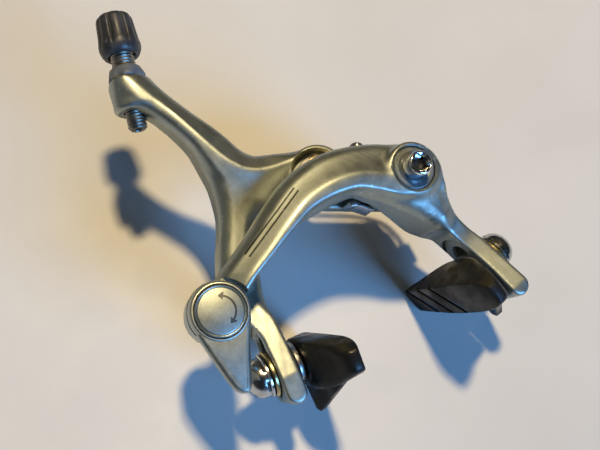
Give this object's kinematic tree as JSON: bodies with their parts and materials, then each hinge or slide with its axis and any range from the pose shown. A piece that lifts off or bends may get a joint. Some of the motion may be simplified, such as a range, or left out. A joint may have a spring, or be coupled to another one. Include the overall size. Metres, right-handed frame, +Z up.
{
  "type": "rim brake caliper",
  "caption": "Dual-pivot side-pull rim brake caliper with two curved arms, slotted blades, brake shoes, cable adjuster and quick-release lever.",
  "frame": {"origin": "axis of the centre bolt at the seat washer's face against the fork crown", "axes": "+Z up towards the cable adjuster, +Y back along the centre bolt into the fork crown, +X to the right seen from the front"},
  "size_m": [0.1079, 0.0632, 0.1371],
  "materials": {
    "anodised": "satin silver anodised",
    "chrome": "polished",
    "steel": "plain",
    "dark_steel": "dark",
    "brass": "tarnished",
    "rubber": "moulded",
    "knob_plastic": "charcoal",
    "grey_plastic": "grey",
    "nylon": "black"
  },
  "bodies": {
    "mount": {"rear_bracket": "anodised", "centre_bolt": "steel", "centre_pivot_nut": "brass", "centre_pivot_washer": "steel", "centre_thrust_washer": "dark_steel", "seat_washer": "dark_steel", "side_pivot_bolt": "chrome", "side_pivot_collar": "dark_steel", "side_pivot_sleeve": "brass", "side_thrust_washer": "dark_steel", "return_spring": "steel", "open_stop_plate": "steel"},
    "rear_arm": {"rear_arm": "anodised", "left_spring_slider": "nylon"},
    "front_arm": {"front_arm": "anodised", "right_spring_slider": "nylon"},
    "centring_screw": {"centring_screw": "dark_steel"},
    "adjuster_barrel": {"adjuster_barrel": "steel"},
    "adjuster_knob": {"adjuster_knob": "knob_plastic"},
    "adjuster_lock_ring": {"adjuster_lock_ring": "grey_plastic"},
    "quick_release": {"qr_lever": "anodised", "qr_cap": "anodised", "qr_spindle": "steel", "cable_anchor_washer": "steel", "cable_anchor_bolt": "steel"},
    "left_shoe_clamp": {"left_shoe_nut": "chrome", "left_shoe_washer": "brass", "left_shoe_spacer": "steel"},
    "left_shoe": {"left_shoe": "rubber", "left_shoe_stud": "steel"},
    "right_shoe_clamp": {"right_shoe_nut": "chrome", "right_shoe_washer": "brass", "right_shoe_spacer": "steel"},
    "right_shoe": {"right_shoe": "rubber", "right_shoe_stud": "steel"}
  },
  "joints": [
    {"name": "rear_arm_pivot", "type": "hinge", "parent": "mount", "child": "rear_arm", "pos_m": [0, -0.016, 0], "axis": [0, -1, 0], "range_deg": [0, 12], "stiffness_Nm_per_rad": 1, "springref_deg": -34.38, "deforming": ["return_spring"]},
    {"name": "front_arm_pivot", "type": "hinge", "parent": "mount", "child": "front_arm", "pos_m": [0.0235, -0.02, -0.0118], "axis": [0, 1, 0], "range_deg": [0, 15.7]},
    {"name": "centring_screw_turn", "type": "hinge", "parent": "front_arm", "child": "centring_screw", "pos_m": [0.0125, -0.016, -0.0056], "axis": [0.5, 0, 0.866], "continuous": true},
    {"name": "adjuster_travel", "type": "slide", "parent": "rear_arm", "child": "adjuster_barrel", "axis": [0.2164, 0, 0.9763], "range_m": [-0.002, 0.006]},
    {"name": "adjuster_knob_turn", "type": "hinge", "parent": "adjuster_barrel", "child": "adjuster_knob", "pos_m": [-0.03781, -0.017, 0.06429], "axis": [0.2164, 0, 0.9763], "range_deg": [-721, 2161]},
    {"name": "lock_ring_turn", "type": "hinge", "parent": "rear_arm", "child": "adjuster_lock_ring", "pos_m": [-0.04047, -0.017, 0.05228], "axis": [0.2164, 0, 0.9763], "continuous": true},
    {"name": "qr_lever_turn", "type": "hinge", "parent": "front_arm", "child": "quick_release", "pos_m": [-0.0493, -0.03, -0.0255], "axis": [0, 1, 0], "range_deg": [0, 90]},
    {"name": "left_shoe_height", "type": "slide", "parent": "rear_arm", "child": "left_shoe_clamp", "axis": [0.0767, 0, 0.9971], "range_m": [-0.0041, 0.0056]},
    {"name": "left_shoe_tilt", "type": "hinge", "parent": "left_shoe_clamp", "child": "left_shoe", "pos_m": [-0.0368, -0.017, -0.048], "axis": [-0.9971, 0, 0.0767], "range_deg": [-10, 10]},
    {"name": "right_shoe_height", "type": "slide", "parent": "front_arm", "child": "right_shoe_clamp", "axis": [-0.2588, 0, 0.9659], "range_m": [-0.0062, 0.003]},
    {"name": "right_shoe_tilt", "type": "hinge", "parent": "right_shoe_clamp", "child": "right_shoe", "pos_m": [0.0384, -0.017, -0.048], "axis": [0.9659, 0, 0.2588], "range_deg": [-10, 10]}
  ],
  "couplings": [
    {"joint": "front_arm_pivot", "follows": "rear_arm_pivot", "ratio": 1.3},
    {"joint": "adjuster_knob_turn", "follows": "adjuster_travel", "rad_per_m": 6283.2}
  ]
}
